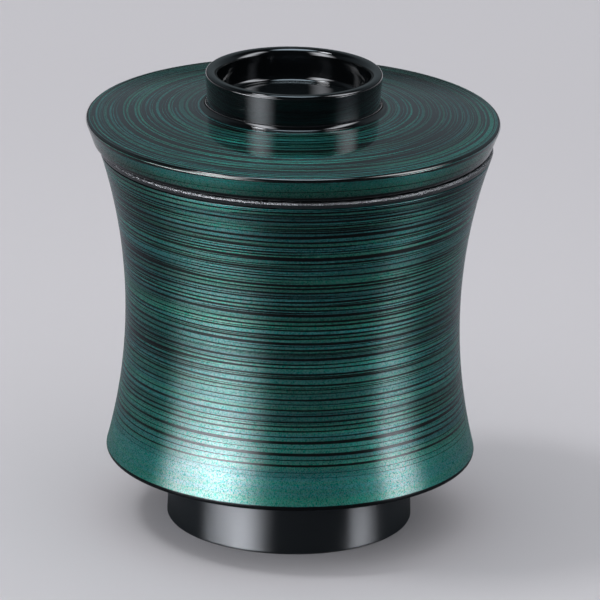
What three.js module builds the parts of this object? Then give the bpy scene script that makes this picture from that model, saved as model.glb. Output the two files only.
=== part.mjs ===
import * as THREE from 'three';

// Small lidded soup bowl with a waisted, drum-like body, in lacquered resin.
// Millimetres, +Z up. The table is z = 0 and the bowl is turned about the Z axis.

// Outside of the bowl: one arc, hollow side out, from the bottom edge past the waist to the rim.
// The lid's edge carries the same arc on upwards.
const WAIST_RADIUS = 31.7;
const FLARE_ARC = 105;
const WAIST_RISE = 27.2; // bottom edge up to the waist
const BOWL_HEIGHT = 61.1; // bottom edge up to the rim
const BOTTOM_ROUND = 1.2;

// Double wall: an outer sleeve with a base, and a cup that drops in and laps over its top edge.
const SLEEVE_WALL = 1.7;
const SLEEVE_BASE = 2.6;
const SLEEVE_TOP_ROUND = 0.3;
const CUP_WALL = 1.6;
const CUP_LIP = 1.2; // height of the cup's lip above the sleeve
const LIP_ROUND = 0.5;
const MOUTH_ROUND = 0.8;
const BOND_GAP = 0.3; // glue line between pieces that are bonded together

// Foot: a ring with a tongue that stands in a groove under the sleeve's base.
const FOOT_HEIGHT = 13;
const FOOT_RADIUS = 23.3;
const FOOT_TAPER = 0.5; // the wall leans in by this much from the table up
const FOOT_WALL = 2.8;
const FOOT_DRAFT = 0.6; // the wall thickens inwards by this much from the table up
const FOOT_ROUND = 0.6;
const TONGUE_WIDTH = 1.4;
const TONGUE_HEIGHT = 1.4;

// Lid: a low dome with a deep edge, and a lip underneath that keeps it on the mouth.
const LID_EDGE = 4.6;
const LID_RISE = 2.75; // edge up to the middle of the dome
const LID_WALL = 2.8;
const LID_TOP_ROUND = 0.8;
const LID_BOTTOM_ROUND = 0.4;
const LID_SEAT_GAP = 0.3;
const LID_LIP_DEPTH = 3;
const LID_LIP_WALL = 1.6;
const LID_LIP_ROUND = 0.6;
const LID_INNER_ROUND = 2;
const LID_PLAY = 0.9; // room between the lid's lip and the cup, all round
const LID_TOUCH = 0.3; // room left on the side that the loose lid has been pushed to

// Grip: a ring with a floor, seated in a shallow recess on the dome. Turned over, it is a foot.
const GRIP_RADIUS = 16.65;
const GRIP_LEAN = 0.45; // the wall leans in by this much from the top down to the neck
const GRIP_WALL = 2.4;
const GRIP_HEIGHT = 6.85; // above the dome
const GRIP_FLOOR = 1.3;
const GRIP_FILLET = 1.2;
const GRIP_TOP_ROUND = 0.7;
const GRIP_MOUTH_ROUND = 1.2;
const GRIP_FLOOR_ROUND = 1;
const GRIP_DRAFT = 0.3; // the recess narrows by this much from the mouth to the floor
const GRIP_SEAT_DEPTH = 0.8;

// Facets: sides in a full turn, and steps along each rounded corner.
const TURN_STEPS = 44;
const CURVE_STEPS = 4;

// Heights above the table
const waistZ = FOOT_HEIGHT + WAIST_RISE;
const rimZ = FOOT_HEIGHT + BOWL_HEIGHT;
const sleeveTopZ = rimZ - CUP_LIP - BOND_GAP;
const sleeveFloorZ = FOOT_HEIGHT + SLEEVE_BASE;
const lidBottomZ = rimZ + LID_SEAT_GAP;
const lidEdgeZ = lidBottomZ + LID_EDGE;

// Insets from the outside arc, from the sleeve's inner face through to the lid's lip
const cupOutsideInset = SLEEVE_WALL + BOND_GAP;
const cupInsideInset = cupOutsideInset + CUP_WALL;
const lidLipInset = cupInsideInset + LID_PLAY;

// Radius at a height of the outside arc, moved in by an inset
function flareRadius(z, inset = 0) {
  const fromWaist = z - waistZ;
  return WAIST_RADIUS - inset + FLARE_ARC - Math.sqrt(FLARE_ARC ** 2 - fromWaist ** 2);
}

// Draws the outside arc, moved in by an inset, between two heights
function drawFlare(outline, fromZ, toZ, inset = 0) {
  const angleAt = (z) => Math.PI - Math.asin((z - waistZ) / FLARE_ARC);
  const centre = WAIST_RADIUS - inset + FLARE_ARC;
  outline.absarc(centre, waistZ, FLARE_ARC, angleAt(fromZ), angleAt(toZ), toZ > fromZ);
}

// The lid's dome: a wide arc over the lid's edge, and its height at a radius
const lidEdgeRadius = flareRadius(lidEdgeZ);
const domeArc = (lidEdgeRadius ** 2 + LID_RISE ** 2) / (2 * LID_RISE);
const domeCentreZ = lidEdgeZ + LID_RISE - domeArc;

function domeZ(radius) {
  return domeCentreZ + Math.sqrt(domeArc ** 2 - radius ** 2);
}

// Draws the dome, lowered by a drop, between two radii
function drawDome(outline, fromRadius, toRadius, drop = 0) {
  const angleAt = (radius) => Math.acos(radius / domeArc);
  const outwards = toRadius > fromRadius;
  outline.absarc(0, domeCentreZ - drop, domeArc, angleAt(fromRadius), angleAt(toRadius), outwards);
}

// Turns an outline of radius and height about the Z axis
function turned(outline) {
  const geometry = new THREE.LatheGeometry(outline.getPoints(CURVE_STEPS), TURN_STEPS);
  return geometry.rotateX(Math.PI / 2);
}

function piece(name, outline, material) {
  const mesh = new THREE.Mesh(turned(outline), material);
  mesh.name = name;
  return mesh;
}

// Black ground with green brushed round it, and plain black, both under clear lacquer
const brushedGreen = { color: 0x0d5f54, roughness: 0.22, metalness: 0.3 };
const gloss = { color: 0x0b0d0e, roughness: 0.12, metalness: 0 };

// The foot's tongue stands in the middle of its wall, in a groove that clears it all round
const footTopRadius = FOOT_RADIUS - FOOT_TAPER;
const tongueRadius = footTopRadius - FOOT_WALL / 2;
const tongueIn = tongueRadius - TONGUE_WIDTH / 2;
const tongueOut = tongueRadius + TONGUE_WIDTH / 2;

function bowlSleeve() {
  const grooveIn = tongueIn - BOND_GAP;
  const grooveOut = tongueOut + BOND_GAP;
  const grooveZ = FOOT_HEIGHT + TONGUE_HEIGHT;
  const edge = flareRadius(FOOT_HEIGHT);
  const roundTopZ = FOOT_HEIGHT + BOTTOM_ROUND;
  const top = flareRadius(sleeveTopZ);
  const outline = new THREE.Path();
  outline.moveTo(0, FOOT_HEIGHT);
  outline.lineTo(grooveIn, FOOT_HEIGHT);
  outline.lineTo(grooveIn, grooveZ);
  outline.lineTo(grooveOut, grooveZ);
  outline.lineTo(grooveOut, FOOT_HEIGHT);
  outline.lineTo(edge - BOTTOM_ROUND, FOOT_HEIGHT);
  outline.quadraticCurveTo(edge, FOOT_HEIGHT, flareRadius(roundTopZ), roundTopZ);
  drawFlare(outline, roundTopZ, sleeveTopZ - SLEEVE_TOP_ROUND);
  outline.quadraticCurveTo(top, sleeveTopZ, top - SLEEVE_TOP_ROUND, sleeveTopZ);
  outline.lineTo(flareRadius(sleeveTopZ, SLEEVE_WALL), sleeveTopZ);
  drawFlare(outline, sleeveTopZ, sleeveFloorZ, SLEEVE_WALL);
  outline.lineTo(0, sleeveFloorZ);
  return piece('bowl_sleeve', outline, new THREE.MeshStandardMaterial(brushedGreen));
}

// Below the waist the cup is round like a bowl, and it stands on the sleeve's floor
function innerCup() {
  const outsideWaist = WAIST_RADIUS - cupOutsideInset;
  const insideWaist = WAIST_RADIUS - cupInsideInset;
  const depth = waistZ - sleeveFloorZ - BOND_GAP;
  const lipZ = rimZ - CUP_LIP;
  const rim = flareRadius(rimZ);
  const mouth = flareRadius(rimZ, cupInsideInset);
  const mouthRoundZ = rimZ - MOUTH_ROUND;
  const outline = new THREE.Path();
  outline.absellipse(0, waistZ, outsideWaist, depth, -Math.PI / 2, 0, false);
  drawFlare(outline, waistZ, lipZ, cupOutsideInset);
  outline.lineTo(flareRadius(lipZ), lipZ);
  outline.lineTo(flareRadius(rimZ - LIP_ROUND), rimZ - LIP_ROUND);
  outline.quadraticCurveTo(rim, rimZ, rim - LIP_ROUND, rimZ);
  outline.lineTo(mouth + MOUTH_ROUND, rimZ);
  outline.quadraticCurveTo(mouth, rimZ, flareRadius(mouthRoundZ, cupInsideInset), mouthRoundZ);
  drawFlare(outline, mouthRoundZ, waistZ, cupInsideInset);
  outline.absellipse(0, waistZ, insideWaist, depth - CUP_WALL, 0, -Math.PI / 2, true);
  return piece('inner_cup', outline, new THREE.MeshStandardMaterial(gloss));
}

function footRing() {
  const topZ = FOOT_HEIGHT - BOND_GAP;
  const insideBottom = FOOT_RADIUS - FOOT_WALL;
  const insideTop = footTopRadius - FOOT_WALL - FOOT_DRAFT;
  const outline = new THREE.Path();
  outline.moveTo(insideBottom + FOOT_ROUND, 0);
  outline.lineTo(FOOT_RADIUS - FOOT_ROUND, 0);
  outline.quadraticCurveTo(FOOT_RADIUS, 0, FOOT_RADIUS, FOOT_ROUND);
  outline.lineTo(footTopRadius, topZ);
  outline.lineTo(tongueOut, topZ);
  outline.lineTo(tongueOut, topZ + TONGUE_HEIGHT);
  outline.lineTo(tongueIn, topZ + TONGUE_HEIGHT);
  outline.lineTo(tongueIn, topZ);
  outline.lineTo(insideTop, topZ);
  outline.lineTo(insideBottom, FOOT_ROUND);
  outline.quadraticCurveTo(insideBottom, 0, insideBottom + FOOT_ROUND, 0);
  return piece('foot_ring', outline, new THREE.MeshStandardMaterial(gloss));
}

// The grip's base fills the recess on the dome, down to the glue line
const gripNeck = GRIP_RADIUS - GRIP_LEAN;
const gripBase = gripNeck + GRIP_FILLET;
const gripSeatRadius = gripBase + BOND_GAP;
const gripSeatZ = domeZ(gripSeatRadius) - GRIP_SEAT_DEPTH;

function lidDisc() {
  const lipBottomZ = lidBottomZ - LID_LIP_DEPTH;
  const lipOutside = flareRadius(lipBottomZ, lidLipInset);
  const lipInside = lipOutside - LID_LIP_WALL;
  const insideRound = lipInside - LID_INNER_ROUND;
  const insideCornerZ = domeZ(lipInside) - LID_WALL;
  const lipRoundZ = lipBottomZ + LID_LIP_ROUND;
  const bottom = flareRadius(lidBottomZ);
  const bottomRoundZ = lidBottomZ + LID_BOTTOM_ROUND;
  const topRound = lidEdgeRadius - LID_TOP_ROUND;
  const outline = new THREE.Path();
  drawDome(outline, 0, insideRound, LID_WALL);
  outline.quadraticCurveTo(lipInside, insideCornerZ, lipInside, insideCornerZ - LID_INNER_ROUND);
  outline.lineTo(lipInside, lipBottomZ);
  outline.lineTo(lipOutside - LID_LIP_ROUND, lipBottomZ);
  outline.quadraticCurveTo(lipOutside, lipBottomZ, flareRadius(lipRoundZ, lidLipInset), lipRoundZ);
  outline.lineTo(flareRadius(lidBottomZ, lidLipInset), lidBottomZ);
  outline.lineTo(bottom - LID_BOTTOM_ROUND, lidBottomZ);
  outline.quadraticCurveTo(bottom, lidBottomZ, flareRadius(bottomRoundZ), bottomRoundZ);
  outline.lineTo(flareRadius(lidEdgeZ - LID_TOP_ROUND), lidEdgeZ - LID_TOP_ROUND);
  outline.quadraticCurveTo(lidEdgeRadius, lidEdgeZ, topRound, domeZ(topRound));
  drawDome(outline, topRound, gripSeatRadius);
  outline.lineTo(gripSeatRadius, gripSeatZ);
  outline.lineTo(0, gripSeatZ);
  return piece('lid_disc', outline, new THREE.MeshStandardMaterial(brushedGreen));
}

function gripRing() {
  const bottomZ = gripSeatZ + BOND_GAP;
  const floorZ = bottomZ + GRIP_FLOOR;
  const filletZ = domeZ(gripBase);
  const neckZ = filletZ + GRIP_FILLET;
  const topZ = filletZ + GRIP_HEIGHT;
  const mouth = GRIP_RADIUS - GRIP_WALL;
  const floorRadius = mouth - GRIP_DRAFT;
  const outline = new THREE.Path();
  outline.moveTo(0, bottomZ);
  outline.lineTo(gripBase, bottomZ);
  outline.lineTo(gripBase, filletZ);
  outline.quadraticCurveTo(gripNeck, filletZ, gripNeck, neckZ);
  outline.lineTo(GRIP_RADIUS, topZ - GRIP_TOP_ROUND);
  outline.quadraticCurveTo(GRIP_RADIUS, topZ, GRIP_RADIUS - GRIP_TOP_ROUND, topZ);
  outline.lineTo(mouth + GRIP_MOUTH_ROUND, topZ);
  outline.quadraticCurveTo(mouth, topZ, mouth, topZ - GRIP_MOUTH_ROUND);
  outline.lineTo(floorRadius, floorZ + GRIP_FLOOR_ROUND);
  outline.quadraticCurveTo(floorRadius, floorZ, floorRadius - GRIP_FLOOR_ROUND, floorZ);
  outline.lineTo(0, floorZ);
  return piece('grip_ring', outline, new THREE.MeshStandardMaterial(gloss));
}

const bowl = new THREE.Group();
bowl.add(bowlSleeve(), innerCup(), footRing());

// The loose lid rests a little off centre, pushed towards -X until its lip almost meets the cup
const lid = new THREE.Group();
lid.add(lidDisc(), gripRing());
lid.position.x = LID_TOUCH - LID_PLAY;

const soupBowl = new THREE.Group();
soupBowl.add(bowl, lid);

export default soupBowl;
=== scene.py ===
# %% [markdown]
# # A lidded soup bowl in brushed green lacquer
#
# This lesson dresses a small soup bowl of lacquered resin: a waisted body on a black foot, and a
# domed lid with a black ring to lift it by. The solids from the CAD step are loaded first. They
# fix every size and place, but their sides are facets, and gloss lacquer would show each facet as
# a broken reflection. So every piece is turned again here, smooth and with finer edges, and each
# new piece stands in for one solid.

import math

import bmesh
import bpy
from mathutils import Matrix, Vector


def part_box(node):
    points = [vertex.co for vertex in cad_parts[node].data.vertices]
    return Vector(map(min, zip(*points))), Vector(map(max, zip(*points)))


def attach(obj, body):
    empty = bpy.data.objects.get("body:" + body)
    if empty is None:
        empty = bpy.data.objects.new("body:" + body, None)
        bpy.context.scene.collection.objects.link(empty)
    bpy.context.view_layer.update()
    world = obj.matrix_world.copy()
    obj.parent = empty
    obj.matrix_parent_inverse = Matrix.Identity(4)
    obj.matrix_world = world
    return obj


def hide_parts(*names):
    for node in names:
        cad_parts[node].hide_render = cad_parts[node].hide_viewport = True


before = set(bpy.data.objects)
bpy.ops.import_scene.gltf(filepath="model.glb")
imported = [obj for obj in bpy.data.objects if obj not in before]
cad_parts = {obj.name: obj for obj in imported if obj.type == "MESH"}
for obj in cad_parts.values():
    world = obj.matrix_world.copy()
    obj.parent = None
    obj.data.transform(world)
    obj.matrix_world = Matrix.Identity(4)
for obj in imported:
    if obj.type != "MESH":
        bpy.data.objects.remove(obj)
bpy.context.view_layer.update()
print("Solids:", ", ".join(sorted(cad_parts)))

# %% [markdown]
# ## Sizes
#
# Heights and outer radii are read from the solids, so they can never disagree with them. The few
# sizes that a box can't tell, such as the arc of the waist or the roundness of an edge, are
# written once here, in millimetres, and turned to Blender's metres.

# %% Read the heights from the solids
MM = 0.001
SEAM = 0.05 * MM

foot_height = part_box("bowl_sleeve")[0].z
foot_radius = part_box("foot_ring")[1].x
foot_top = foot_height - SEAM
sleeve_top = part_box("bowl_sleeve")[1].z
rim_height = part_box("inner_cup")[1].z
cup_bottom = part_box("inner_cup")[0].z
lid_lip_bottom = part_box("lid_disc")[0].z
grip_bottom, grip_top = (corner.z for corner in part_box("grip_ring"))
lid_shift = (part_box("grip_ring")[0].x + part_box("grip_ring")[1].x) / 2
print(f"Rim {rim_height / MM:.1f} mm high, lid {-lid_shift / MM:.2f} mm to the left of centre")

# %% The waisted outside
WAIST_RADIUS = 31.7 * MM
WAIST_RISE = 27.2 * MM
FLARE_ARC = 105 * MM
waist_height = foot_height + WAIST_RISE


def flare_radius(height, inset=0.0):
    """Gives the radius of the bowl's outside at a height: an arc with its hollow side out."""
    fall = FLARE_ARC - math.sqrt(FLARE_ARC**2 - (height - waist_height) ** 2)
    return WAIST_RADIUS - inset + fall


print(f"Bottom edge {flare_radius(foot_height) / MM:.2f} mm, rim {flare_radius(rim_height) / MM:.2f} mm")

# %% [markdown]
# ## Drawing and turning an outline
#
# Lacquer bowls are turned on a lathe, and so are these pieces. Each one is half a section: a
# plane is added and merged into a single point, that point is extruded along the straight runs
# and spun along the arcs, and the corners are rounded with a vertex bevel. Spinning the outline
# once round the Z axis then makes the piece. A cylinder with edge loops would do for a straight
# wall, but only an outline gives the long waist, the lips and the roundings in one smooth skin.

# %% Helpers that draw
TURN_STEPS = 192
ROUND_STEPS = 6


def start_outline(name, radius, height):
    """Adds a plane and merges its corners into one point, where the outline starts."""
    bpy.ops.object.select_all(action="DESELECT")
    bpy.ops.mesh.primitive_plane_add(size=MM, location=(radius, 0, height))
    piece = bpy.context.object
    piece.name = name
    piece.data.name = name
    bpy.ops.object.transform_apply(location=True, rotation=False, scale=False)
    bpy.ops.object.mode_set(mode="EDIT")
    bpy.ops.mesh.select_mode(type="VERT")
    bpy.ops.mesh.select_all(action="SELECT")
    bpy.ops.mesh.merge(type="CENTER")
    return piece


def end_point(piece):
    """Finds the end of the outline, which is the one selected point."""
    points = bmesh.from_edit_mesh(piece.data).verts
    return next(point.co.copy() for point in points if point.select)


def line_to(piece, radius, height):
    """Extrudes the end of the outline in a straight line."""
    stroke = Vector((radius, 0, height)) - end_point(piece)
    bpy.ops.mesh.extrude_vertices_move(TRANSFORM_OT_translate={"value": stroke})


def arc_about(radius, height, angle, steps):
    """Spins the end of the outline about a centre; a positive angle runs anticlockwise."""
    bpy.ops.mesh.spin(steps=steps, angle=angle, center=(radius, 0, height), axis=(0, 1, 0))


def round_corner(piece, radius, height, size):
    """Bevels the corner of the outline that is nearest to a place."""
    outline = bmesh.from_edit_mesh(piece.data)
    corner = Vector((radius, 0, height))
    nearest = min(outline.verts, key=lambda point: (point.co - corner).length)
    bpy.ops.mesh.select_all(action="DESELECT")
    nearest.select_set(True)
    outline.select_flush_mode()
    bmesh.update_edit_mesh(piece.data)
    bpy.ops.mesh.bevel(offset=size, segments=ROUND_STEPS, affect="VERTICES")


# %% Helpers that turn
SMOOTH_ANGLE = math.radians(35)
MERGE_DISTANCE = 0.001 * MM


def turn(piece, shift=0.0):
    """Spins the outline into a closed skin with smooth shading, moved sideways by a shift."""
    bpy.ops.mesh.select_all(action="SELECT")
    bpy.ops.mesh.spin(steps=TURN_STEPS, angle=2 * math.pi, center=(0, 0, 0), axis=(0, 0, 1))
    bpy.ops.mesh.select_all(action="SELECT")
    bpy.ops.mesh.remove_doubles(threshold=MERGE_DISTANCE)
    bpy.ops.mesh.normals_make_consistent(inside=False)
    bpy.ops.transform.translate(value=(shift, 0, 0))
    bpy.ops.object.mode_set(mode="OBJECT")
    bpy.ops.object.shade_smooth_by_angle(angle=SMOOTH_ANGLE)
    bpy.ops.object.modifier_add(type="WEIGHTED_NORMAL")
    weighted = piece.modifiers[-1]
    weighted.keep_sharp = True
    bpy.ops.object.modifier_apply(modifier=weighted.name)
    print(f"{piece.name}: {len(piece.data.polygons)} faces")


def flare_to(piece, height, inset=0.0, steps=40):
    """Draws the waisted arc from the end of the outline to a height."""
    start = math.asin((end_point(piece).z - waist_height) / FLARE_ARC)
    end = math.asin((height - waist_height) / FLARE_ARC)
    centre = WAIST_RADIUS - inset + FLARE_ARC
    arc_about(centre, waist_height, start - end, steps)


# %% [markdown]
# ## The foot ring
#
# The bowl stands on a plain black ring. Its outside leans in a little towards the top, its inside
# is drafted so that it leaves the mould, and a tongue on top stands in a groove under the body.
# It could be a cylinder with its middle cut out, but the outline keeps both slopes exact.

# %% Turn the foot ring
FOOT_TAPER = 0.5 * MM
FOOT_WALL = 2.8 * MM
FOOT_DRAFT = 0.6 * MM
FOOT_ROUND = 0.6 * MM
TONGUE_WIDTH = 1.4 * MM
TONGUE_HEIGHT = 1.4 * MM

foot_top_radius = foot_radius - FOOT_TAPER
tongue_middle = foot_top_radius - FOOT_WALL / 2
tongue_in = tongue_middle - TONGUE_WIDTH / 2
tongue_out = tongue_middle + TONGUE_WIDTH / 2
foot_inside = foot_radius - FOOT_WALL

foot = start_outline("black_foot", foot_inside, 0)
line_to(foot, foot_radius, 0)
line_to(foot, foot_top_radius, foot_top)
line_to(foot, tongue_out, foot_top)
line_to(foot, tongue_out, foot_top + TONGUE_HEIGHT)
line_to(foot, tongue_in, foot_top + TONGUE_HEIGHT)
line_to(foot, tongue_in, foot_top)
line_to(foot, foot_top_radius - FOOT_WALL - FOOT_DRAFT, foot_top)
line_to(foot, foot_inside, 0)
bpy.ops.mesh.select_all(action="SELECT")
bpy.ops.mesh.remove_doubles(threshold=MERGE_DISTANCE)
round_corner(foot, foot_radius, 0, FOOT_ROUND)
round_corner(foot, foot_inside, 0, FOOT_ROUND)
turn(foot)
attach(foot, "bowl")
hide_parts("foot_ring")

# %% [markdown]
# ## The sleeve
#
# The sleeve is the green outside: a waisted wall on a flat base, with a rounded lower edge. Its
# wall is drawn twice, once up the outside and once down the inside, so that it has its real
# thickness and the groove for the foot. A Solidify modifier would also thicken it, but it would
# round off the base and the groove.

# %% Turn the sleeve
SLEEVE_WALL = 1.7 * MM
SLEEVE_BASE = 2.6 * MM
BOTTOM_ROUND = 1.2 * MM
SLEEVE_TOP_ROUND = 0.1 * MM
GLUE_LINE = 0.3 * MM

groove_in = tongue_in - GLUE_LINE
groove_out = tongue_out + GLUE_LINE
groove_top = foot_height + TONGUE_HEIGHT
sleeve_floor = foot_height + SLEEVE_BASE

sleeve = start_outline("brushed_sleeve", 0, foot_height)
line_to(sleeve, groove_in, foot_height)
line_to(sleeve, groove_in, groove_top)
line_to(sleeve, groove_out, groove_top)
line_to(sleeve, groove_out, foot_height)
line_to(sleeve, flare_radius(foot_height), foot_height)
flare_to(sleeve, sleeve_top)
line_to(sleeve, flare_radius(sleeve_top, SLEEVE_WALL), sleeve_top)
flare_to(sleeve, sleeve_floor, SLEEVE_WALL)
line_to(sleeve, 0, sleeve_floor)
round_corner(sleeve, flare_radius(foot_height), foot_height, BOTTOM_ROUND)
round_corner(sleeve, flare_radius(sleeve_top), sleeve_top, SLEEVE_TOP_ROUND)
turn(sleeve)
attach(sleeve, "bowl")
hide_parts("bowl_sleeve")

# %% [markdown]
# ## The inner cup
#
# The cup is what holds the soup. It drops into the sleeve and laps over its top edge, and that
# lap is the thin black lip that shows under the lid. Above the waist it follows the sleeve; below
# it is half an ellipse, so that a spoon finds no corner.

# %% Turn the inner cup
CUP_WALL = 1.6 * MM
LIP_HEIGHT = 1.2 * MM
LIP_ROUND = 0.9 * MM
MOUTH_ROUND = 0.8 * MM
ELLIPSE_STEPS = 24

cup_outside = SLEEVE_WALL + GLUE_LINE
cup_inside = cup_outside + CUP_WALL
lip_bottom = rim_height - LIP_HEIGHT


def ellipse_point(half_width, depth, share):
    """Gives a point of the cup's lower half: share 0 is the waist and 1 the middle of the floor."""
    angle = share * math.pi / 2
    return half_width * math.cos(angle), waist_height - depth * math.sin(angle)


cup_depth = waist_height - cup_bottom
cup = start_outline("black_cup", 0, cup_bottom)
for step in range(1, ELLIPSE_STEPS + 1):
    line_to(cup, *ellipse_point(WAIST_RADIUS - cup_outside, cup_depth, 1 - step / ELLIPSE_STEPS))
flare_to(cup, lip_bottom, cup_outside, steps=20)
line_to(cup, flare_radius(lip_bottom), lip_bottom)
line_to(cup, flare_radius(rim_height), rim_height)
line_to(cup, flare_radius(rim_height, cup_inside), rim_height)
flare_to(cup, waist_height, cup_inside, steps=20)
for step in range(1, ELLIPSE_STEPS + 1):
    line_to(cup, *ellipse_point(WAIST_RADIUS - cup_inside, cup_depth - CUP_WALL, step / ELLIPSE_STEPS))
round_corner(cup, flare_radius(rim_height), rim_height, LIP_ROUND)
round_corner(cup, flare_radius(rim_height, cup_inside), rim_height, MOUTH_ROUND)
turn(cup)
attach(cup, "bowl")
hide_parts("inner_cup")

# %% [markdown]
# ## The lid
#
# The lid is a low dome whose edge carries the bowl's arc on upwards, so that lid and bowl read as
# one line. A lip underneath keeps it on the mouth, with room to spare, and that is why it rests
# a little off centre: it is turned on the bowl's axis first and then pushed aside.

# %% The dome
LID_EDGE = 4.6 * MM
LID_RISE = 2.75 * MM
LID_WALL = 2.8 * MM
LID_LIP_DEPTH = 3 * MM

lid_bottom = lid_lip_bottom + LID_LIP_DEPTH
lid_edge_height = lid_bottom + LID_EDGE
lid_edge_radius = flare_radius(lid_edge_height)
dome_arc = (lid_edge_radius**2 + LID_RISE**2) / (2 * LID_RISE)
dome_centre = lid_edge_height + LID_RISE - dome_arc


def dome_height(radius):
    """Gives the height of the lid's top at a radius."""
    return dome_centre + math.sqrt(dome_arc**2 - radius**2)


def dome_to(piece, radius, drop=0.0, steps=12):
    """Draws the dome, lowered by a drop, from the end of the outline to a radius."""
    start = math.acos(end_point(piece).x / dome_arc)
    arc_about(0, dome_centre - drop, math.acos(radius / dome_arc) - start, steps)


print(f"The dome's arc has a radius of {dome_arc / MM:.0f} mm")

# %% Turn the lid
LID_TOP_ROUND = 0.8 * MM
LID_BOTTOM_ROUND = 0.4 * MM
LID_LIP_WALL = 1.6 * MM
LID_LIP_ROUND = 0.6 * MM
LID_INNER_ROUND = 2 * MM
LID_PLAY = 0.9 * MM
GRIP_SEAT_DEPTH = 0.8 * MM

grip_base = (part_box("grip_ring")[1].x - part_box("grip_ring")[0].x) / 2
seat_radius = grip_base + SEAM
seat_height = dome_height(seat_radius) - GRIP_SEAT_DEPTH
lip_inset = cup_inside + LID_PLAY
lip_outside = flare_radius(lid_lip_bottom, lip_inset)
lip_inside = lip_outside - LID_LIP_WALL
inner_corner = dome_height(lip_inside) - LID_WALL

lid = start_outline("brushed_lid", 0, seat_height)
line_to(lid, seat_radius, seat_height)
line_to(lid, seat_radius, dome_height(seat_radius))
dome_to(lid, lid_edge_radius)
line_to(lid, flare_radius(lid_bottom), lid_bottom)
line_to(lid, flare_radius(lid_bottom, lip_inset), lid_bottom)
line_to(lid, lip_outside, lid_lip_bottom)
line_to(lid, lip_inside, lid_lip_bottom)
line_to(lid, lip_inside, inner_corner)
dome_to(lid, 0, LID_WALL, steps=10)
round_corner(lid, lid_edge_radius, lid_edge_height, LID_TOP_ROUND)
round_corner(lid, flare_radius(lid_bottom), lid_bottom, LID_BOTTOM_ROUND)
round_corner(lid, lip_outside, lid_lip_bottom, LID_LIP_ROUND)
round_corner(lid, lip_inside, lid_lip_bottom, LID_LIP_ROUND)
round_corner(lid, lip_inside, inner_corner, LID_INNER_ROUND)
turn(lid, lid_shift)
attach(lid, "lid")
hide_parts("lid_disc")

# %% [markdown]
# ## The grip ring
#
# The ring on the lid is what fingers lift it by, and turned over it makes the lid a small dish on
# a foot. It flares where it meets the dome, leans out towards its top and has soft edges, and
# these narrow curves are what catch the light on black gloss.

# %% Turn the grip ring
GRIP_WALL = 2.4 * MM
GRIP_LEAN = 0.45 * MM
GRIP_FLOOR = 1.3 * MM
GRIP_FILLET = 1.2 * MM
GRIP_FILLET_ROUND = 0.95 * GRIP_FILLET
GRIP_TOP_ROUND = 0.7 * MM
GRIP_MOUTH_ROUND = 1.2 * MM
GRIP_FLOOR_ROUND = 1 * MM
GRIP_DRAFT = 0.3 * MM

grip_neck = grip_base - GRIP_FILLET
grip_radius = grip_neck + GRIP_LEAN
grip_mouth = grip_radius - GRIP_WALL
fillet_height = dome_height(grip_base)
floor_height = grip_bottom + GRIP_FLOOR

grip = start_outline("black_grip", 0, grip_bottom)
line_to(grip, grip_base, grip_bottom)
line_to(grip, grip_base, fillet_height)
line_to(grip, grip_neck, fillet_height)
line_to(grip, grip_radius, grip_top)
line_to(grip, grip_mouth, grip_top)
line_to(grip, grip_mouth - GRIP_DRAFT, floor_height)
line_to(grip, 0, floor_height)
round_corner(grip, grip_neck, fillet_height, GRIP_FILLET_ROUND)
round_corner(grip, grip_radius, grip_top, GRIP_TOP_ROUND)
round_corner(grip, grip_mouth, grip_top, GRIP_MOUTH_ROUND)
round_corner(grip, grip_mouth - GRIP_DRAFT, floor_height, GRIP_FLOOR_ROUND)
turn(grip, lid_shift)
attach(grip, "lid")
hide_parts("grip_ring")

# %% [markdown]
# ## Colours and nodes
#
# Colours are written as the sRGB hex values that one would pick from a picture, and one function
# turns them to the linear values that Blender mixes light in. A second small function adds a
# node, so that each finish below reads as a list of what it is made of.

# %% Helpers for the finishes
SOFT = {"interpolation_type": "SMOOTHSTEP"}


def linear(hex_colour):
    """Turns an sRGB hex colour into linear red, green, blue and alpha."""
    shares = [int(hex_colour[i : i + 2], 16) / 255 for i in (1, 3, 5)]
    return [s / 12.92 if s <= 0.04045 else ((s + 0.055) / 1.055) ** 2.4 for s in shares] + [1]


def add_node(tree, kind, inputs, **settings):
    """Adds a node with its settings; an input is a value, a socket, or a node's first output."""
    node = tree.nodes.new("ShaderNode" + kind)
    for name, value in settings.items():
        setattr(node, name, value)
    for name, value in inputs.items():
        if isinstance(value, bpy.types.Node):
            value = value.outputs[0]
        if isinstance(value, bpy.types.NodeSocket):
            tree.links.new(value, node.inputs[name])
        else:
            node.inputs[name].default_value = value
    return node


def new_finish(name, **sockets):
    """Makes a material and sets what is the same all over it on its Principled shader."""
    finish = bpy.data.materials.new(name)
    finish.use_nodes = True
    shader = finish.node_tree.nodes["Principled BSDF"]
    for socket, value in sockets.items():
        shader.inputs[socket.replace("_", " ")].default_value = value
    return finish, finish.node_tree, shader


def centred_place(tree, shift):
    """Gives the place on a piece, measured from the axis that the piece was turned on."""
    where = add_node(tree, "TexCoord", {}).outputs["Object"]
    return add_node(tree, "Mapping", {"Vector": where, "Location": (-shift, 0, 0)})


# %% [markdown]
# ## Brushed green lacquer
#
# The ground is black lacquer. While the bowl turns, a coarse brush lays pearl green on it, and the
# ground shows wherever the bristles part, in fine lines that run right round. Clear lacquer covers
# it all. It could be a picture wrapped round the wall, but that would blur from near by and show a
# seam. So the finish is worked out from the place on the piece: strokes are counted up the wall,
# or in over the lid, and all that the brush leaves behind follows that count.

# %% Count the strokes
# Strokes to a millimetre, and the height in mm at which the sleeve's paint starts
STROKES_LOW = 1.5
STROKES_CROWD = 0.004
LID_STROKES = 1.4
PAINT_EDGE = 1.1
sleeve_paint = foot_height / MM + PAINT_EDGE


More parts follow.
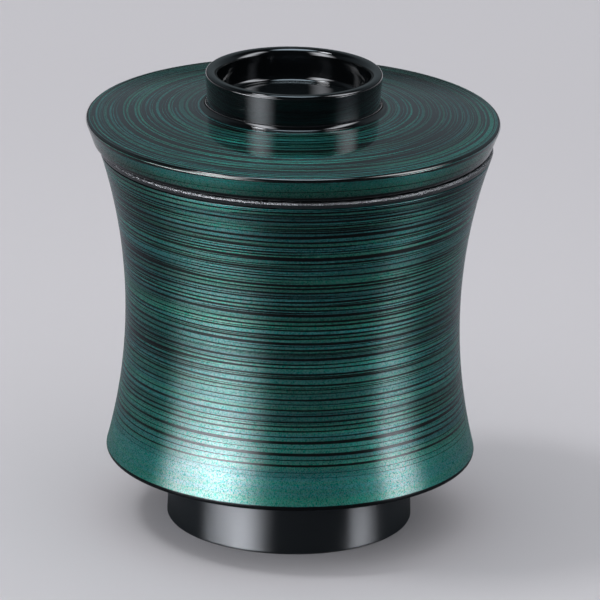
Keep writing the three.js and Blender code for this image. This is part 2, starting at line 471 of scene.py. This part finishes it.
def strokes_up_the_wall(tree, place):
    """Gives millimetres above the sleeve's painted edge, and strokes counted: they crowd upwards."""
    height = add_node(tree, "SeparateXYZ", {0: place}).outputs["Z"]
    above = add_node(
        tree, "Math", {0: height, 1: 1 / MM, 2: -sleeve_paint}, operation="MULTIPLY_ADD"
    )
    crowd = add_node(
        tree, "Math", {0: above, 1: STROKES_CROWD, 2: STROKES_LOW}, operation="MULTIPLY_ADD"
    )
    return above, add_node(tree, "Math", {0: above, 1: crowd}, operation="MULTIPLY")


def strokes_over_the_lid(tree, place):
    """Gives millimetres from the lid's lower edge, up its side and in over its top, and strokes."""
    height = add_node(tree, "SeparateXYZ", {0: place}).outputs["Z"]
    flat = add_node(tree, "VectorMath", {0: place, 1: (1, 1, 0)}, operation="MULTIPLY")
    radius = add_node(tree, "VectorMath", {0: flat}, operation="LENGTH").outputs["Value"]
    inwards = add_node(tree, "Math", {0: height, 1: radius}, operation="SUBTRACT")
    start = lid_bottom - flare_radius(lid_bottom)
    above = add_node(
        tree, "Math", {0: inwards, 1: 1 / MM, 2: -start / MM}, operation="MULTIPLY_ADD"
    )
    return above, add_node(tree, "Math", {0: above, 1: LID_STROKES}, operation="MULTIPLY")


def streaks(tree, strokes, place, each, length, detail):
    """Gives noise drawn out along the strokes, one swell for each so many strokes, length in mm."""
    closely = add_node(tree, "Math", {0: strokes, 1: each}, operation="DIVIDE")
    across = add_node(tree, "CombineXYZ", {"Z": closely})
    slowly = 1 / (length * MM)
    drawn = add_node(
        tree,
        "VectorMath",
        {0: place, 1: (slowly, slowly, 0), 2: across},
        operation="MULTIPLY_ADD",
    )
    return add_node(tree, "TexNoise", {"Vector": drawn, "Scale": 1, "Detail": detail})


print(f"Strokes are {1 / STROKES_LOW:.2f} mm wide low on the wall, {1 / LID_STROKES:.2f} mm on the lid")

# %% [markdown]
# ### Black lines
#
# Bristles keep their places in the brush, so the gaps between them leave lines at distances that
# are nearly even. A wave texture would make them quite even, and all of one width. Here slow noise
# pushes the count of strokes to and fro before it is folded into lines, and more noise lets each
# line swell, thin out and end. Long lines run nearly all the way up, and short ones join them
# where the paint gets thin.

# %% Black lines, where the bristles parted
# For each kind: lines to a stroke, how long in mm, and the least and the greatest width
LONG_LINES = 0.6, 170, 0.08, 0.22
SHORT_LINES = 0.95, 80, -0.06, 0.33
LINE_WANDER = 1.6
WANDER_STROKES = 3
# A swell's share of a line's length, and the middling noise that is stretched over the swell
SWELL_LENGTH = 0.4
SWELL_SPAN = 0.38, 0.62
# How soft the edge of a black band is, in mm
EDGE_BLUR = 0.1


def bristle_lines(tree, strokes, place, kind, amount):
    """Gives 1 on black lines: so many to a stroke, unevenly spaced, that swell and fade."""
    each, length, thinnest, thickest = kind
    wander = streaks(tree, strokes, place, WANDER_STROKES, length, 1)
    wander = add_node(tree, "Math", {0: wander, 1: LINE_WANDER}, operation="MULTIPLY")
    count = add_node(tree, "Math", {0: strokes, 1: each, 2: wander}, operation="MULTIPLY_ADD")
    off_line = add_node(tree, "Math", {0: count, 1: 0.5}, operation="PINGPONG")
    swell = streaks(tree, strokes, place, 1, SWELL_LENGTH * length, 1)
    width = add_node(
        tree,
        "MapRange",
        {
            "Value": swell,
            "From Min": SWELL_SPAN[0],
            "From Max": SWELL_SPAN[1],
            "To Min": thinnest,
            "To Max": thickest,
        },
    )
    width = add_node(tree, "Math", {0: width, 1: amount}, operation="MULTIPLY")
    return add_node(tree, "Math", {0: off_line, 1: width}, operation="LESS_THAN")


def bare_and_painted_dark_bands(tree, above, bands):
    """Gives 1 on black bands, where the brush left the ground uncovered and where a dark reflection is
    painted; each has a middle and a half width in mm.
    """
    black_bands = None
    for middle, half_width in bands:
        off = add_node(tree, "Math", {0: above, 1: middle}, operation="SUBTRACT")
        away = add_node(tree, "Math", {0: off}, operation="ABSOLUTE")
        band = add_node(
            tree,
            "MapRange",
            {"Value": away, "From Min": half_width + EDGE_BLUR, "From Max": half_width - EDGE_BLUR},
            **SOFT,
        )
        if black_bands:
            band = add_node(tree, "Math", {0: black_bands, 1: band}, operation="MAXIMUM")
        black_bands = band
    return black_bands


print(f"Long lines start {1 / (LONG_LINES[0] * STROKES_LOW):.1f} mm apart, low on the wall")

# %% [markdown]
# ### Where the paint lies
#
# The brush is full where it was set down and runs dry as it goes on. So the paint covers the ground
# near its edge, and further on it gets thin and smoky, with finer and finer hairs in each stroke.

# %% Lay the paint
# For each: how many strokes wide, and how long in mm
SMOKE = 3.5, 60
HAIRS = 0.22, 30
# The middling noise that is stretched over the whole change
SMOKE_SPAN = 0.36, 0.64
HAIR_SPAN = 0.3, 0.7
# Paint in the driest smoke, at the thick edge and above it, and what it loses on the way up
DRIEST = 0.9, 0.65
DRYING = -0.2
# Paint in the fullest smoke, from the edge up, and in hairs, from dry to full
FULLEST = 1.1, 0.95
HAIR_COVER = 0.85, 1.1
# How many mm to each side of its end the thick paint takes to get thin
EDGE_FADE = 2


def laid_paint(tree, place, above, strokes, thick_to, thin_from, bands, parted):
    """Gives the paint, 0 where the black ground shows to 1 on full paint, and the way up from where it
    lies thickest, 0 to 1.
    """
    thin = add_node(
        tree, "MapRange", {"Value": above, "From Min": thick_to, "From Max": thin_from}
    )
    rise = add_node(
        tree,
        "MapRange",
        {"Value": above, "From Min": thick_to - EDGE_FADE, "From Max": thick_to + EDGE_FADE},
        **SOFT,
    )
    many = add_node(tree, "Math", {0: rise, 1: parted}, operation="MULTIPLY")
    few = add_node(tree, "Math", {0: thin, 1: parted}, operation="MULTIPLY")
    long_lines = bristle_lines(tree, strokes, place, LONG_LINES, many)
    short_lines = bristle_lines(tree, strokes, place, SHORT_LINES, few)
    black = add_node(tree, "Math", {0: long_lines, 1: short_lines}, operation="MAXIMUM")
    black_bands = bare_and_painted_dark_bands(tree, above, bands)
    black = add_node(tree, "Math", {0: black, 1: black_bands}, operation="MAXIMUM")
    kept = add_node(tree, "Math", {0: 1.0, 1: black}, operation="SUBTRACT")

    smoke = streaks(tree, strokes, place, *SMOKE, 3)
    driest = add_node(tree, "MapRange", {"Value": rise, "To Min": DRIEST[0], "To Max": DRIEST[1]})
    driest = add_node(tree, "Math", {0: thin, 1: DRYING, 2: driest}, operation="MULTIPLY_ADD")
    fullest = add_node(
        tree, "MapRange", {"Value": thin, "To Min": FULLEST[0], "To Max": FULLEST[1]}
    )
    cover = add_node(
        tree,
        "MapRange",
        {
            "Value": smoke,
            "From Min": SMOKE_SPAN[0],
            "From Max": SMOKE_SPAN[1],
            "To Min": driest,
            "To Max": fullest,
        },
    )
    hairs = streaks(tree, strokes, place, *HAIRS, 2)
    hair = add_node(
        tree,
        "MapRange",
        {
            "Value": hairs,
            "From Min": HAIR_SPAN[0],
            "From Max": HAIR_SPAN[1],
            "To Min": HAIR_COVER[0],
            "To Max": HAIR_COVER[1],
        },
    )
    laid = add_node(tree, "Math", {0: cover, 1: hair}, operation="MULTIPLY")
    painted = add_node(tree, "Math", {0: kept, 1: laid}, operation="MULTIPLY", use_clamp=True)
    return painted, rise


print(f"Smoky bands are {SMOKE[1]} mm long, hairs {HAIRS[1]} mm")

# %% [markdown]
# ### Pearl flakes and colour
#
# The green is lacquer full of pearl flakes, which are tiny coloured mirrors. Between them is clear
# binder, stained green. Real flakes are about 0.03 mm long and would not show at all, so they are
# drawn a few times coarser, which gives the eye a fine shimmer.

# %% Mix the colour
BINDER_GREEN = "#0c7562"
BINDER_TEAL = "#106f70"
FLAKE_GREEN = "#138c7d"
FLAKE_TEAL = "#138582"
GROUND_BLACK = "#030505"
# How many strokes wide a hue is, how long in mm, and the noise that is stretched over the change
HUES = 1.7, 90
HUE_SPAN = 0.4, 0.6
FLAKE = 0.13 * MM
FLAKE_SHARE = 0.38
SPARKLE = 0.5, 1.5


def pearl_flakes(tree, place, painted):
    """Gives 1 on the flakes in the paint, and chance for each of them."""
    chance = add_node(tree, "TexVoronoi", {"Vector": place, "Scale": 1 / FLAKE}).outputs["Color"]
    share = add_node(tree, "SeparateColor", {0: chance}).outputs["Blue"]
    flake = add_node(tree, "Math", {0: share, 1: 1 - FLAKE_SHARE}, operation="GREATER_THAN")
    return add_node(tree, "Math", {0: flake, 1: painted}, operation="MULTIPLY"), chance


def paint_colour(tree, place, strokes, painted, rise, flake, chance, edge):
    """Gives the colour, which goes from green to teal along the strokes, over the black ground."""
    sparkle = add_node(tree, "SeparateColor", {0: chance})
    sparkle = add_node(
        tree, "MapRange", {"Value": sparkle, "To Min": SPARKLE[0], "To Max": SPARKLE[1]}
    )
    # Painted light and shade: near the paint's lower edge its colour is scaled by edge, brighter above 1
    # and darker below 1
    edge_shading = add_node(tree, "MapRange", {"Value": rise, "To Min": edge, "To Max": 1.0})
    bright = add_node(tree, "Math", {0: painted, 1: edge_shading}, operation="MULTIPLY")
    bright = add_node(tree, "Math", {0: bright, 1: sparkle}, operation="MULTIPLY")
    hues = streaks(tree, strokes, place, *HUES, 2)
    hue = add_node(
        tree, "MapRange", {"Value": hues, "From Min": HUE_SPAN[0], "From Max": HUE_SPAN[1]}
    )
    binder = add_node(
        tree, "Mix", {0: hue, 6: linear(BINDER_GREEN), 7: linear(BINDER_TEAL)}, data_type="RGBA"
    )
    pearl = add_node(
        tree, "Mix", {0: hue, 6: linear(FLAKE_GREEN), 7: linear(FLAKE_TEAL)}, data_type="RGBA"
    )
    paint = add_node(
        tree, "Mix", {0: flake, 6: binder.outputs[2], 7: pearl.outputs[2]}, data_type="RGBA"
    )
    paint = add_node(
        tree, "VectorMath", {0: paint.outputs[2], "Scale": bright}, operation="SCALE"
    )
    return add_node(tree, "VectorMath", {0: paint, 1: linear(GROUND_BLACK)[:3]}, operation="ADD")


print(f"Flakes are {FLAKE / MM:.2f} mm long")

# %% [markdown]
# ### Gloss
#
# All strokes run one way, so the gloss is anisotropic: a highlight is drawn out across them, up and
# down the wall. The shader is metallic where a flake lies, and the flake leans a little and spreads
# the light wider. Bare ground has hardly any gloss of its own, which a metal of a black colour
# gives, so the lines stay black in a highlight and only the clear coat shines over them.

# %% Put the brushed green together
STROKE_SWAY = 1.2
SWAY_LENGTH = 40 * MM
PEARL_ROUGHNESS = 0.32
FLAKE_SPREAD = 0.25
FLAKE_TILT = 0.16
BARE_ROUGHNESS = 0.25
BARE_METAL = 0.7
QUARTER_TURN = 0.25
EVEN_CHANCE = 0.5, 0.5, 0.5


def brushed_green(name, shift, count_strokes, thick_to, thin_from, bands, edge, parted, **sockets):
    """Makes the brushed green. Paint lies thickly up to one place and thinly from another, in mm; edge
    scales the paint's colour near its lower edge, which is painted light above 1 and painted shade below
    1, and parted says how wide the black lines are.
    """
    finish, tree, shader = new_finish(
        name,
        Specular_Tint=linear("#eef4ff"),
        Anisotropic=0.85,
        Anisotropic_Rotation=QUARTER_TURN,
        **sockets,
    )
    place = centred_place(tree, shift)
    above, strokes = count_strokes(tree, place)
    sway = add_node(tree, "TexNoise", {"Vector": place, "Scale": 1 / SWAY_LENGTH, "Detail": 1})
    strokes = add_node(tree, "Math", {0: sway, 1: STROKE_SWAY, 2: strokes}, operation="MULTIPLY_ADD")
    painted, rise = laid_paint(tree, place, above, strokes, thick_to, thin_from, bands, parted)
    flake, chance = pearl_flakes(tree, place, painted)
    colour = paint_colour(tree, place, strokes, painted, rise, flake, chance, edge)
    tree.links.new(colour.outputs[0], shader.inputs["Base Color"])

    ground = add_node(tree, "Math", {0: 1.0, 1: painted}, operation="SUBTRACT")
    metal = add_node(
        tree, "Math", {0: ground, 1: BARE_METAL, 2: flake}, operation="MULTIPLY_ADD", use_clamp=True
    )
    tree.links.new(metal.outputs[0], shader.inputs["Metallic"])
    rough = add_node(
        tree,
        "MapRange",
        {"Value": painted, "To Min": BARE_ROUGHNESS, "To Max": PEARL_ROUGHNESS},
    )
    rough = add_node(tree, "Math", {0: flake, 1: FLAKE_SPREAD, 2: rough}, operation="MULTIPLY_ADD")
    tree.links.new(rough.outputs[0], shader.inputs["Roughness"])
    round_axis = add_node(tree, "Tangent", {}, direction_type="RADIAL", axis="Z")
    tree.links.new(round_axis.outputs[0], shader.inputs["Tangent"])
    lean = add_node(tree, "VectorMath", {0: chance, 1: EVEN_CHANCE}, operation="SUBTRACT")
    lean_by = add_node(tree, "Math", {0: flake, 1: FLAKE_TILT}, operation="MULTIPLY")
    lean = add_node(tree, "VectorMath", {0: lean, "Scale": lean_by}, operation="SCALE")
    face_on = add_node(tree, "NewGeometry", {}).outputs["Normal"]
    leaning = add_node(tree, "VectorMath", {0: lean, 1: face_on}, operation="ADD")
    tilted = add_node(tree, "VectorMath", {0: leaning}, operation="NORMALIZE")
    tree.links.new(tilted.outputs[0], shader.inputs["Normal"])
    print(f"{name}: {len(tree.nodes)} nodes")
    return finish


# %% [markdown]
# ### Green on the sleeve and the lid
#
# On the wall the paint is thickest along the lower edge, where the brush was set down, and gets thin
# towards the rim, and that lower band is painted a little brighter, as painted light. The lid has more
# black between its strokes and a deeper clear coat, which reflects the room like dark water, and its
# side is painted darker, as painted shade. Both keep a bare black edge where the brush stopped. The lid
# also has a black band painted along the rounding of its top edge, as a painted reflection of the dark
# ceiling.

# %% Paint the sleeve and the lid
lid_lean = flare_radius(lid_edge_height) - flare_radius(lid_bottom)
lid_side = (lid_edge_height - lid_bottom - lid_lean) / MM
# Dense paint with a soft coat, so that the highlight is broad and pale
sleeve.data.materials.append(
    brushed_green(
        "brushed_green_lacquer",
        shift=0,
        count_strokes=strokes_up_the_wall,
        thick_to=6,
        thin_from=45,
        bands=[(-5, 5)],
        # edge 1.05 is a slight painted brightening of the lower band, where the flare faces up to the
        # light
        edge=1.05,
        parted=1,
        IOR=2.4,
        Coat_Weight=0.35,
        Coat_IOR=1.3,
        Coat_Roughness=0.14,
    )
)
# Thinner paint under a clear deep coat, in which the grip and the room show like in dark water
lid.data.materials.append(
    brushed_green(
        "brushed_green_lacquer_lid",
        shift=lid_shift,
        count_strokes=strokes_over_the_lid,
        thick_to=2,
        thin_from=6,
        # The second band is a painted reflection: black along the rounding of the top edge, standing in
        # for the dark ceiling seen in it
        bands=[(-5, 5.5), (lid_side + 0.4, 0.5)],
        # edge 0.2 is painted shade on the lid's side, which faces down, away from the light
        edge=0.2,
        parted=1.3,
        IOR=1.7,
        Coat_Weight=1,
        Coat_IOR=1.6,
        Coat_Roughness=0.03,
    )
)

# %% [markdown]
# ## Black lacquer
#
# Foot, cup and grip are plain black. Black gloss is almost only reflection, so what makes it real
# is how sharp that is: near a mirror on the grip, which was polished, and softer on the foot, where
# fine turning marks drag the light up and down. Smudges change the sharpness a little from place
# to place, and the cup's lip, which the lid rubs, has a fine grain that breaks its highlight up.

# %% Make the black lacquers
SMUDGE = 9 * MM
SMUDGE_SPAN = 0.3, 0.7
SMUDGE_CHANGE = 0.1
LIP_GRAIN = 0.35 * MM
LIP_GRAIN_DEPTH = 0.3 * MM
LIP_ROUGHNESS = 0.22
WORN_LOW = 0.3 * MM
WORN_HIGH = 0.5 * MM


def black_lacquer(name, shift, colour, roughness, **sockets):
    """Makes a black lacquer with turning marks that stretch its highlights."""
    finish, tree, shader = new_finish(
        name,
        Base_Color=linear(colour),
        Specular_Tint=linear("#f2f6ff"),
        Anisotropic_Rotation=QUARTER_TURN,
        Coat_IOR=1.4,
        **sockets,
    )
    round_axis = add_node(tree, "Tangent", {}, direction_type="RADIAL", axis="Z")
    tree.links.new(round_axis.outputs[0], shader.inputs["Tangent"])
    place = centred_place(tree, shift)
    smudges = add_node(tree, "TexNoise", {"Vector": place, "Scale": 1 / SMUDGE, "Detail": 3})
    rough = add_node(
        tree,
        "MapRange",
        {
            "Value": smudges,
            "From Min": SMUDGE_SPAN[0],
            "From Max": SMUDGE_SPAN[1],
            "To Min": (1 - SMUDGE_CHANGE) * roughness,
            "To Max": (1 + SMUDGE_CHANGE) * roughness,
        },
    )
    tree.links.new(rough.outputs[0], shader.inputs["Roughness"])
    return finish, tree, shader, place


def rubbed_lip(tree, shader, place):
    """Gives the cup's lip a fine grain and a duller gloss, which break up its highlight."""
    height = add_node(tree, "SeparateXYZ", {0: place}).outputs["Z"]
    on_lip = add_node(
        tree,
        "MapRange",
        {"Value": height, "From Min": lip_bottom + WORN_LOW, "From Max": rim_height - WORN_HIGH},
    )
    grain = add_node(tree, "TexNoise", {"Vector": place, "Scale": 1 / LIP_GRAIN, "Detail": 3})
    worn = add_node(tree, "Math", {0: grain, 1: on_lip}, operation="MULTIPLY")
    bump = add_node(tree, "Bump", {"Height": worn, "Distance": LIP_GRAIN_DEPTH})
    tree.links.new(bump.outputs[0], shader.inputs["Normal"])
    smooth = shader.inputs["Roughness"].links[0].from_socket
    dull = add_node(tree, "MapRange", {"Value": on_lip, "To Min": smooth, "To Max": LIP_ROUGHNESS})
    tree.links.new(dull.outputs[0], shader.inputs["Roughness"])


print(f"Smudges are {SMUDGE / MM:.0f} mm wide, the lip's grain {LIP_GRAIN / MM:.2f} mm")

# %% Give the black pieces their lacquers
FACING_UP = 0.99
FLOOR_MARGIN = 0.1 * MM
INSIDE_DEPTH = 1 * MM

# Polished nearly to a mirror, so that the grip shows the softboxes as clear bars
grip_finish = black_lacquer(
    "black_gloss_lacquer", lid_shift, "#07090b", 0.075, IOR=1.5, Anisotropic=0.9, Coat_Weight=0.5
)[0]
# Satin, so that the foot shows them as broad soft patches
foot_finish = black_lacquer(
    "black_satin_lacquer", 0, "#1a1f22", 0.32, IOR=2.3, Anisotropic=1, Coat_Weight=0
)[0]
# In between, with a rubbed lip that glitters under the lid
cup_finish, cup_tree, cup_shader, cup_place = black_lacquer(
    "black_cup_lacquer", 0, "#0e1214", 0.22, IOR=2.6, Anisotropic=0.5, Coat_Weight=0.1
)
rubbed_lip(cup_tree, cup_shader, cup_place)
# Plain gloss inside the lid and the grip, where the eye finds only dark
inside_finish = black_lacquer(
    "black_inside_lacquer", lid_shift, "#0e1214", 0.12, IOR=1.6, Anisotropic=0.5, Coat_Weight=0.1
)[0]
grip.data.materials.append(grip_finish)
grip.data.materials.append(inside_finish)
foot.data.materials.append(foot_finish)
cup.data.materials.append(cup_finish)
lid.data.materials.append(inside_finish)
for face in grip.data.polygons:
    on_floor = face.center.z < floor_height + FLOOR_MARGIN
    face.material_index = 1 if on_floor and face.normal.z > FACING_UP else 0
for face in lid.data.polygons:
    out = math.hypot(face.center.x - lid_shift, face.center.y)
    under_dome = face.center.z < dome_height(out) - INSIDE_DEPTH
    inside_edge = out < flare_radius(face.center.z, INSIDE_DEPTH)
    face.material_index = 1 if under_dome and inside_edge else 0
for finish in (grip_finish, foot_finish, cup_finish, inside_finish):
    print(f"{finish.name}: {len(finish.node_tree.nodes)} nodes")

# %% [markdown]
# ## The paper
#
# The bowl stands on pale grey paper, so the floor is one large plane. Paper under studio light is
# brightest near the subject. It could be lit so, but a tone that falls off from the middle keeps
# the lamps free for the lacquer. It is quite matt, so that no softbox shows in it from any side.

# %% Paper
PAPER_WIDTH = 12
PAPER_GLOW = 0.05, 0.3
bpy.ops.object.select_all(action="DESELECT")
bpy.ops.mesh.primitive_plane_add(size=PAPER_WIDTH)
floor = bpy.context.object
floor.name = "grey_paper"
paper, paper_tree, paper_shader = new_finish("grey_paper", Roughness=1, Specular_IOR_Level=0)
paper_place = add_node(paper_tree, "TexCoord", {}).outputs["Object"]
paper_out = add_node(paper_tree, "VectorMath", {0: paper_place}, operation="LENGTH").outputs["Value"]
paper_far = add_node(
    paper_tree,
    "MapRange",
    {"Value": paper_out, "From Min": PAPER_GLOW[0], "From Max": PAPER_GLOW[1]},
    **SOFT,
)
paper_tone = add_node(
    paper_tree,
    "Mix",
    {0: paper_far, 6: linear("#d0cfd4"), 7: linear("#c8c7cc")},
    data_type="RGBA",
)
paper_tree.links.new(paper_tone.outputs[2], paper_shader.inputs["Base Color"])
floor.data.materials.append(paper)
print(f"Paper {floor.dimensions.x:.0f} m wide")

# %% [markdown]
# ## Softboxes
#
# Gloss shows the lamps themselves, so their shapes matter more than their light. A wide low softbox
# close by on the left makes the broad highlight, which grows stronger towards the foot, and a
# narrower one on the right makes the second. Tall ones further away draw the bars in the grip and
# the bright lines on the rims. Their edges fade, as cloth in front of a bulb does, and each is
# placed by the angles at which the bowl sees it. They show in reflections only, and the room and
# the top softbox give the even light.

# %% Set up the softboxes
NEAR = 0.35
FAR = 3.0


def softbox(name, distance, azimuth, half_width, low, high, radiance, fades):
    """Stands up a softbox by angles in degrees; fades are shares at its left, right, low and high."""
    turned = math.radians(azimuth)
    floor_to_low = distance * math.tan(math.radians(low))
    floor_to_high = distance * math.tan(math.radians(high))
    lamp = bpy.data.lights.new(name, "AREA")
    lamp.shape = "RECTANGLE"
    lamp.size = 2 * distance * math.tan(math.radians(half_width))
    lamp.size_y = floor_to_high - floor_to_low
    lamp.energy = radiance * math.pi * lamp.size * lamp.size_y
    lamp.use_nodes = True
    tree = lamp.node_tree
    spot = add_node(tree, "NewGeometry", {}).outputs["Parametric"]
    split = add_node(tree, "SeparateXYZ", {0: spot})
    level = None
    for side, start, share in zip("XXYY", (0, 1, 0, 1), fades):
        full = abs(start - share)
        fade = add_node(
            tree,
            "MapRange",
            {"Value": split.outputs[side], "From Min": start, "From Max": full},
            **SOFT,
        )
        if level:
            fade = add_node(tree, "Math", {0: level, 1: fade}, operation="MULTIPLY")
        level = fade
    tree.links.new(level.outputs[0], tree.nodes["Emission"].inputs["Strength"])
    box = bpy.data.objects.new(name, lamp)
    out = Vector((math.sin(turned), -math.cos(turned), 0))
    box.location = out * distance + Vector((0, 0, (floor_to_low + floor_to_high) / 2))
    box.rotation_euler = (-out).to_track_quat("-Z", "Y").to_euler()
    box.visible_camera = False
    box.visible_diffuse = False
    bpy.context.collection.objects.link(box)
    print(f"{name}: {lamp.size:.2f} m wide, {lamp.size_y:.2f} m high")


softbox("left_softbox", NEAR, -50, 39, low=0.2, high=7.5, radiance=29, fades=(0.4, 0.45, 0.1, 0.5))
softbox("upper_left_softbox", FAR, -45, 24, low=8, high=60, radiance=8.5, fades=(0.5, 0.5, 0.02, 0.3))
softbox("right_softbox", NEAR, 71.5, 19, low=0.2, high=6, radiance=20, fades=(0.3, 0.6, 0.1, 0.5))
softbox("upper_right_softbox", FAR, 78, 24, low=14, high=64, radiance=7, fades=(0.5, 0.5, 0.1, 0.2))

# %% [markdown]
# ## A dark card
#
# The waist looks down at the paper, and pale paper would wash its black lines out. A photographer
# lays a dark card in front of the bowl, just out of the picture. This one lies round it and is
# seen only in reflections, with a soft edge behind the bowl, where the paper brightens the sides.

# %% Lay the dark card
CARD_WIDTH = 2.4
CARD_LIFT = 0.2 * MM
CARD_FADE = -0.05, 0.35
STUDIO_GREY = "#c2c1c6"
bpy.ops.object.select_all(action="DESELECT")
bpy.ops.mesh.primitive_plane_add(size=1, location=(0, 0, CARD_LIFT))
card = bpy.context.object
card.name = "dark_card"
bpy.ops.transform.resize(value=(CARD_WIDTH, CARD_WIDTH, 1))
bpy.ops.object.transform_apply(location=True, rotation=False, scale=True)
card_finish, card_tree, card_shader = new_finish("dark_card", Roughness=1, Specular_IOR_Level=0)
card_place = add_node(card_tree, "TexCoord", {}).outputs["Object"]
card_back = add_node(card_tree, "SeparateXYZ", {0: card_place}).outputs["Y"]
card_fade = add_node(
    card_tree,
    "MapRange",
    {"Value": card_back, "From Min": CARD_FADE[0], "From Max": CARD_FADE[1]},
)
card_tone = add_node(
    card_tree,
    "Mix",
    {0: card_fade, 6: linear("#3a3d40"), 7: linear(STUDIO_GREY)},
    data_type="RGBA",
)
card_tree.links.new(card_tone.outputs[2], card_shader.inputs["Base Color"])
card.data.materials.append(card_finish)
card.visible_camera = False
card.visible_diffuse = False
card.visible_shadow = False
print(f"Card {card.dimensions.x:.1f} m wide, seen in reflections only")

# %% [markdown]
# ## The top softbox
#
# A small softbox high on the left puts the bright line on the lid's edge and the sparkle on the
# cup's lip, and its shadow ties the bowl to the paper.

# %% Hang the top softbox
TOP_WIDTH = 0.32
TOP_RADIANCE = 20
TOP_PLACE = -0.8, -0.1, 1.75
top_lamp = bpy.data.lights.new("top_softbox", "AREA")
top_lamp.size = TOP_WIDTH
top_lamp.energy = TOP_RADIANCE * math.pi * TOP_WIDTH**2
top_box = bpy.data.objects.new("top_softbox", top_lamp)
top_box.location = TOP_PLACE
top_box.rotation_euler = (-top_box.location).to_track_quat("-Z", "Y").to_euler()
top_box.visible_camera = False
bpy.context.collection.objects.link(top_box)
print(f"Top softbox {top_box.location.z:.2f} m up")

# %% [markdown]
# ## The room
#
# The world stands in for the walls and the ceiling. Even light comes mostly from above, a little
# from the front and the left, so the shadow stays soft. Reflections see a dim room with a pale wall
# behind the bowl, which veils the lid, and a bright ceiling right above, which draws thin lines on
# the rims. The camera sees the plain grey of the paper.

# %% Light the room
# What a reflection sees at each height, from 0, level, to 1, straight up
SKIRTING = 0.10, (0.02, 0.02, 0.02, 1)
WALL = 0.2, (0.145, 0.175, 0.19, 1)
UPPER_ROOM = (0.6, 0.18), (0.75, 0.03), (0.95, 0.03), (0.98, 8.0)
UPPER_TINT = 0.8, 0.97, 1.05
# From how far in front to how far behind the wall gets pale, and how dim it is in front
WALL_SPAN = -0.5, 0.3
WALL_IN_FRONT = 0.1
# Where the even light comes from, how much comes from all round, and its colour
FILL_FROM = -0.3, -0.3, 1.3
FILL_ROUND = 0.25
FILL_COLOUR = 0.9, 0.9, 0.91

world = bpy.data.worlds.new("studio")
bpy.context.scene.world = world
world.use_nodes = True
sky = world.node_tree
direction = add_node(sky, "TexCoord", {}).outputs["Generated"]
split = add_node(sky, "SeparateXYZ", {0: direction})
ramp = add_node(sky, "ValToRGB", {0: split.outputs["Z"]})
stops = ramp.color_ramp.elements
stops[0].position, stops[0].color = SKIRTING
stops[1].position, stops[1].color = WALL
for position, level in UPPER_ROOM:
    stop = stops.new(position)
    stop.color = [level * share for share in UPPER_TINT] + [1]
behind = add_node(
    sky,
    "MapRange",
    {
        "Value": split.outputs["Y"],
        "From Min": WALL_SPAN[0],
        "From Max": WALL_SPAN[1],
        "To Min": WALL_IN_FRONT,
    },
)
wall = add_node(sky, "VectorMath", {0: ramp, "Scale": behind}, operation="SCALE")
path = add_node(sky, "LightPath", {})
from_there = add_node(sky, "VectorMath", {0: direction, 1: FILL_FROM}, operation="DOT_PRODUCT")
even = add_node(
    sky, "Math", {0: from_there.outputs["Value"], 1: FILL_ROUND}, operation="ADD", use_clamp=True
)
fill = add_node(sky, "VectorMath", {0: FILL_COLOUR, "Scale": even}, operation="SCALE")
room = add_node(
    sky, "Mix", {0: path.outputs["Is Glossy Ray"], 6: fill, 7: wall}, data_type="RGBA"
)
backdrop = add_node(
    sky,
    "Mix",
    {0: path.outputs["Is Camera Ray"], 6: room.outputs[2], 7: linear(STUDIO_GREY)},
    data_type="RGBA",
)
sky.links.new(backdrop.outputs[2], sky.nodes["Background"].inputs["Color"])
print(f"{world.name}: {len(sky.nodes)} nodes")

# %% [markdown]
# ## Camera
#
# A long lens far away, as a product is usually shot: 19 degrees above the table, and leaning by
# a degree.

# %% Camera
AIM = Vector((1.34, 0, 42.8)) * MM
DISTANCE = 1.2163
VIEW_RISE = math.radians(18.79)
VIEW_ROLL = math.radians(1.152)
LENS_LENGTH = 385.4
SENSOR_WIDTH = 36

lens = bpy.data.cameras.new("camera")
lens.lens = LENS_LENGTH
lens.sensor_width = SENSOR_WIDTH
camera = bpy.data.objects.new("camera", lens)
bpy.context.collection.objects.link(camera)
back = Vector((0, -math.cos(VIEW_RISE), math.sin(VIEW_RISE)))
tilt = Matrix.Rotation(math.pi / 2 - VIEW_RISE, 4, "X") @ Matrix.Rotation(VIEW_ROLL, 4, "Z")
camera.matrix_world = Matrix.Translation(AIM + back * DISTANCE) @ tilt
bpy.context.scene.camera = camera
bpy.context.scene.view_settings.view_transform = "Standard"
print(f"Camera {DISTANCE:.2f} m away, {math.degrees(VIEW_RISE):.1f} degrees up")
